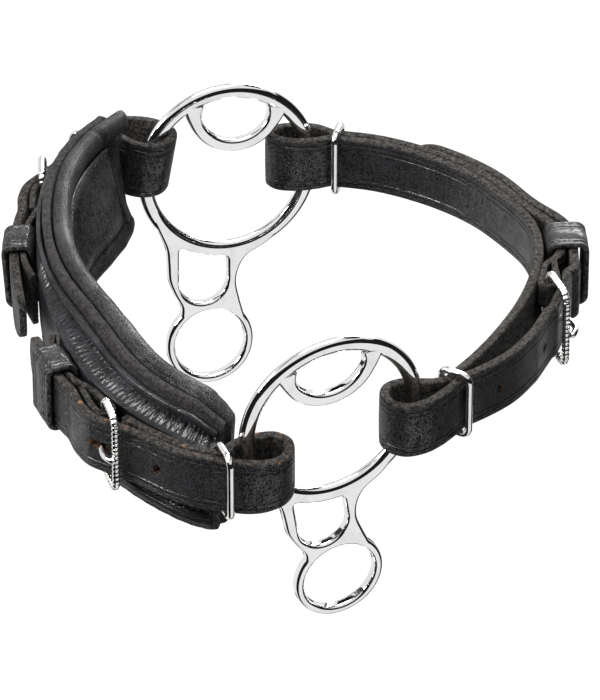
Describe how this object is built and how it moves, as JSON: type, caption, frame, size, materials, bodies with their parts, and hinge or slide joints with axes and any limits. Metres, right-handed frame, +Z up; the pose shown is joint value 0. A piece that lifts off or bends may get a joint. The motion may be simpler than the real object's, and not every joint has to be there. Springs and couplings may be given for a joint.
{
  "type": "bitless bridle",
  "caption": "Padded leather noseband and curb strap joined by cast ring cheeks with crescent slots and rein eyes, closed by wire buckles and keepers.",
  "frame": {"origin": "middle of the loop at strap height, where the nose passes through", "axes": "+Z up as the bridle hangs, -Y towards the near cheek, -X towards the noseband, +X towards the curb strap"},
  "size_m": [0.2196, 0.239, 0.1417],
  "materials": {
    "strap_leather": "oiled black leather with dark raw edges",
    "soft_leather": "soft fine grained black leather",
    "lining_leather": "smooth wrinkled lining leather with a sheen",
    "base_leather": "thick leather with a grey brown raw edge",
    "chrome": "polished"
  },
  "bodies": {
    "noseband": {"nose_base": "base_leather", "nose_cover": "soft_leather", "nose_pad": "soft_leather", "nose_lining": "lining_leather", "nose_billet_near": "strap_leather", "nose_billet_far": "strap_leather", "nose_chape_near": "strap_leather", "nose_chape_far": "strap_leather"},
    "far_cheek": {"cheek_far": "chrome"},
    "near_cheek": {"cheek_near": "chrome"},
    "curb": {"curb_strap": "strap_leather"},
    "near_buckle": {"nose_buckle_near": "chrome"},
    "near_tongue": {"nose_tongue_near": "chrome"},
    "far_buckle": {"nose_buckle_far": "chrome"},
    "far_tongue": {"nose_tongue_far": "chrome"},
    "curb_frame": {"curb_buckle": "chrome"},
    "curb_prong": {"curb_tongue": "chrome"},
    "near_loop": {"nose_keeper_near": "strap_leather"},
    "far_loop": {"nose_keeper_far": "strap_leather"},
    "curb_loop": {"curb_keeper": "strap_leather"},
    "near_wire": {"nose_wire_near": "chrome"},
    "far_wire": {"nose_wire_far": "chrome"},
    "curb_far_wire": {"curb_wire_far": "chrome"},
    "curb_near_wire": {"curb_wire_near": "chrome"}
  },
  "joints": [
    {"name": "far_cheek_turn", "type": "hinge", "parent": "noseband", "child": "far_cheek", "pos_m": [-0.028, 0.0979, -0.0016], "axis": [0.2918, -0.9485, 0.1236], "range_deg": [-4, 12]},
    {"name": "near_cheek_turn", "type": "hinge", "parent": "noseband", "child": "near_cheek", "pos_m": [0.0109, -0.0957, 0.0151], "axis": [0.4108, -0.9098, -0.0593], "range_deg": [-8, 12]},
    {"name": "curb_swing", "type": "hinge", "parent": "noseband", "child": "curb", "pos_m": [-0.028, 0.0979, -0.0016], "axis": [0.1963, -0.9769, 0.0843], "range_deg": [0, 5]},
    {"name": "near_buckle_tilt", "type": "hinge", "parent": "noseband", "child": "near_buckle", "pos_m": [-0.07046, -0.08566, 0.00249], "axis": [0, 0, -1], "range_deg": [0, 5]},
    {"name": "near_tongue_lift", "type": "hinge", "parent": "near_buckle", "child": "near_tongue", "pos_m": [-0.07046, -0.08566, 0.00249], "axis": [0, 0, -1], "range_deg": [0, 8]},
    {"name": "far_buckle_tilt", "type": "hinge", "parent": "noseband", "child": "far_buckle", "pos_m": [-0.09585, 0.05772, 0.00548], "axis": [-0.1147, 0.0439, 0.9924], "range_deg": [0, 5]},
    {"name": "far_tongue_lift", "type": "hinge", "parent": "far_buckle", "child": "far_tongue", "pos_m": [-0.09585, 0.05772, 0.00548], "axis": [-0.1147, 0.0439, 0.9924], "range_deg": [0, 8]},
    {"name": "curb_frame_tilt", "type": "hinge", "parent": "curb", "child": "curb_frame", "pos_m": [0.09223, -0.00548, 0.00412], "axis": [0, 0, 1], "range_deg": [0, 5]},
    {"name": "curb_prong_lift", "type": "hinge", "parent": "curb_frame", "child": "curb_prong", "pos_m": [0.09223, -0.00548, 0.00412], "axis": [0, 0, 1], "range_deg": [0, 8]},
    {"name": "near_loop_slide", "type": "slide", "parent": "noseband", "child": "near_loop", "axis": [0.3773, -0.9261, 0], "range_m": [-0.002, 0.002]},
    {"name": "far_loop_slide", "type": "slide", "parent": "noseband", "child": "far_loop", "axis": [0.03, 0.9995, 0], "range_m": [-0.002, 0.002]},
    {"name": "curb_loop_slide", "type": "slide", "parent": "curb", "child": "curb_loop", "axis": [0.0604, -0.9982, 0], "range_m": [-0.002, 0.002]},
    {"name": "near_wire_slide", "type": "slide", "parent": "noseband", "child": "near_wire", "axis": [0.9688, -0.2477, 0], "range_m": [-0.0008, 0]},
    {"name": "far_wire_slide", "type": "slide", "parent": "noseband", "child": "far_wire", "axis": [0.4304, 0.9026, 0], "range_m": [0, 0.001]},
    {"name": "curb_far_wire_slide", "type": "slide", "parent": "curb", "child": "curb_far_wire", "axis": [-0.9751, 0.2218, 0], "range_m": [-0.002, 0.0005]},
    {"name": "curb_near_wire_slide", "type": "slide", "parent": "curb", "child": "curb_near_wire", "axis": [-0.5462, -0.8377, 0], "range_m": [-0.002, 0.0005]}
  ]
}
